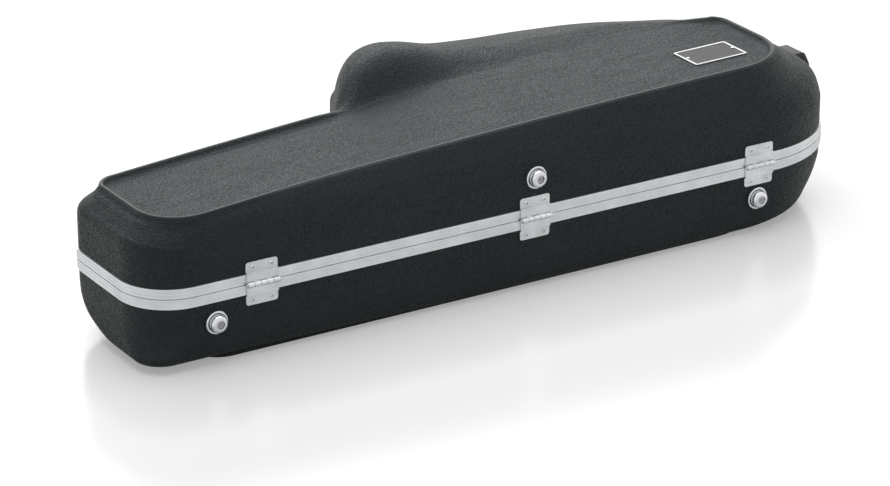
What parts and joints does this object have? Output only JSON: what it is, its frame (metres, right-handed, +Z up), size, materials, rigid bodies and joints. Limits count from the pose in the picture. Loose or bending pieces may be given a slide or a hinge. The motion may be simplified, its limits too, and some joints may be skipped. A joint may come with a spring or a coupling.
{
  "type": "tenor saxophone case",
  "caption": "Shaped hard case for a tenor saxophone, with a hinged bulged lid, draw latches, carrying handle, spine feet and padded interior.",
  "frame": {"origin": "middle of the plinth face that the closed case rests on, midway along the rim's length and width", "axes": "+X from the narrow end to the wide end, +Y from the hinge side to the latch side, +Z up"},
  "size_m": [0.8993, 0.3613, 0.207],
  "materials": {
    "shell": "pebble-grained moulded ABS, satin",
    "rim": "satin extruded aluminium with fine lengthwise lines",
    "plated_steel": "bright zinc-plated pressed steel",
    "chrome": "polished chrome plate",
    "screw_steel": "plated steel",
    "lining": "short plush over foam",
    "tab_ribbon": "woven ribbon",
    "handle_plastic": "moulded black plastic",
    "grip_rubber": "soft black sleeve",
    "plate_black": "bare black plate with a pale border",
    "lock_brass": "turned brass key cylinder"
  },
  "bodies": {
    "base": {"base_shell": "shell", "base_rim": "rim", "base_lining_narrow": "lining", "base_lining_middle": "lining", "base_lining_wide": "lining", "hinge_1_base_leaf": "plated_steel", "hinge_1_pin": "plated_steel", "latch_1_plate": "chrome", "hinge_2_base_leaf": "plated_steel", "hinge_2_pin": "plated_steel", "latch_2_plate": "chrome", "hinge_3_base_leaf": "plated_steel", "hinge_3_pin": "plated_steel", "latch_3_plate": "chrome", "hinge_rivets_base": "plated_steel", "latch_rivets_base": "chrome", "handle_bracket_wide_end": "handle_plastic", "handle_bracket_narrow_end": "handle_plastic", "base_foot_1_ring": "chrome", "base_foot_1_stud": "chrome", "base_foot_1_screw": "screw_steel", "base_foot_2_ring": "chrome", "base_foot_2_stud": "chrome", "base_foot_2_screw": "screw_steel"},
    "lid": {"lid_shell": "shell", "lid_rim": "rim", "lid_lining": "lining", "end_loop": "handle_plastic", "name_plate": "plate_black", "name_plate_rivets": "screw_steel", "hinge_rivets_lid": "plated_steel", "latch_rivets_lid": "chrome", "hinge_1_lid_leaf": "plated_steel", "latch_1_catch": "chrome", "hinge_2_lid_leaf": "plated_steel", "latch_2_catch": "chrome", "hinge_3_lid_leaf": "plated_steel", "latch_3_catch": "chrome", "lid_foot_1_ring": "chrome", "lid_foot_1_stud": "chrome", "lid_foot_1_screw": "screw_steel"},
    "compartment_cover": {"compartment_cover": "lining", "cover_pull_tab": "tab_ribbon"},
    "handle": {"handle_bar": "handle_plastic", "handle_grip": "grip_rubber"},
    "latch_1_lever": {"latch_1_lever": "chrome"},
    "latch_1_claw": {"latch_1_claw": "chrome"},
    "latch_2_lever": {"latch_2_lever": "chrome"},
    "latch_2_claw": {"latch_2_claw": "chrome"},
    "latch_3_lever": {"latch_3_lever": "chrome"},
    "latch_3_claw": {"latch_3_claw": "chrome"},
    "lock_plug": {"lock_plug": "lock_brass"}
  },
  "joints": [
    {"name": "lid_hinge", "type": "hinge", "parent": "base", "child": "lid", "pos_m": [0.011, -0.173, 0.08], "axis": [1, 0, 0], "range_deg": [0, 100]},
    {"name": "latch_1_lever_pivot", "type": "hinge", "parent": "base", "child": "latch_1_lever", "pos_m": [-0.2903, 0.01686, 0.063], "axis": [0.9982, 0.0598, 0], "range_deg": [0, 94]},
    {"name": "latch_1_claw_pivot", "type": "hinge", "parent": "latch_1_lever", "child": "latch_1_claw", "pos_m": [-0.2903, 0.01686, 0.053], "axis": [0.9982, 0.0598, 0], "range_deg": [-103.4, 0]},
    {"name": "latch_2_lever_pivot", "type": "hinge", "parent": "base", "child": "latch_2_lever", "pos_m": [0.005, 0.173, 0.063], "axis": [1, 0, 0], "range_deg": [0, 94]},
    {"name": "latch_2_claw_pivot", "type": "hinge", "parent": "latch_2_lever", "child": "latch_2_claw", "pos_m": [0.005, 0.173, 0.053], "axis": [1, 0, 0], "range_deg": [-103.4, 0]},
    {"name": "latch_3_lever_pivot", "type": "hinge", "parent": "base", "child": "latch_3_lever", "pos_m": [0.196, 0.173, 0.063], "axis": [1, 0, 0], "range_deg": [0, 94]},
    {"name": "latch_3_claw_pivot", "type": "hinge", "parent": "latch_3_lever", "child": "latch_3_claw", "pos_m": [0.196, 0.173, 0.053], "axis": [1, 0, 0], "range_deg": [-103.4, 0]},
    {"name": "lock_turn", "type": "hinge", "parent": "latch_2_lever", "child": "lock_plug", "pos_m": [0.005, 0.1755, 0.043], "axis": [0, 1, 0], "range_deg": [0, 90]},
    {"name": "handle_swing", "type": "hinge", "parent": "base", "child": "handle", "pos_m": [0.1, 0.177, 0.056], "axis": [1, 0, 0], "range_deg": [0, 95]},
    {"name": "cover_hinge", "type": "hinge", "parent": "base", "child": "compartment_cover", "pos_m": [-0.32, -0.084, 0.0735], "axis": [0, 1, 0], "range_deg": [0, 50]}
  ],
  "couplings": [
    {"joint": "latch_1_claw_pivot", "follows": "latch_1_lever_pivot", "ratio": -1.1},
    {"joint": "latch_2_claw_pivot", "follows": "latch_2_lever_pivot", "ratio": -1.1},
    {"joint": "latch_3_claw_pivot", "follows": "latch_3_lever_pivot", "ratio": -1.1}
  ]
}
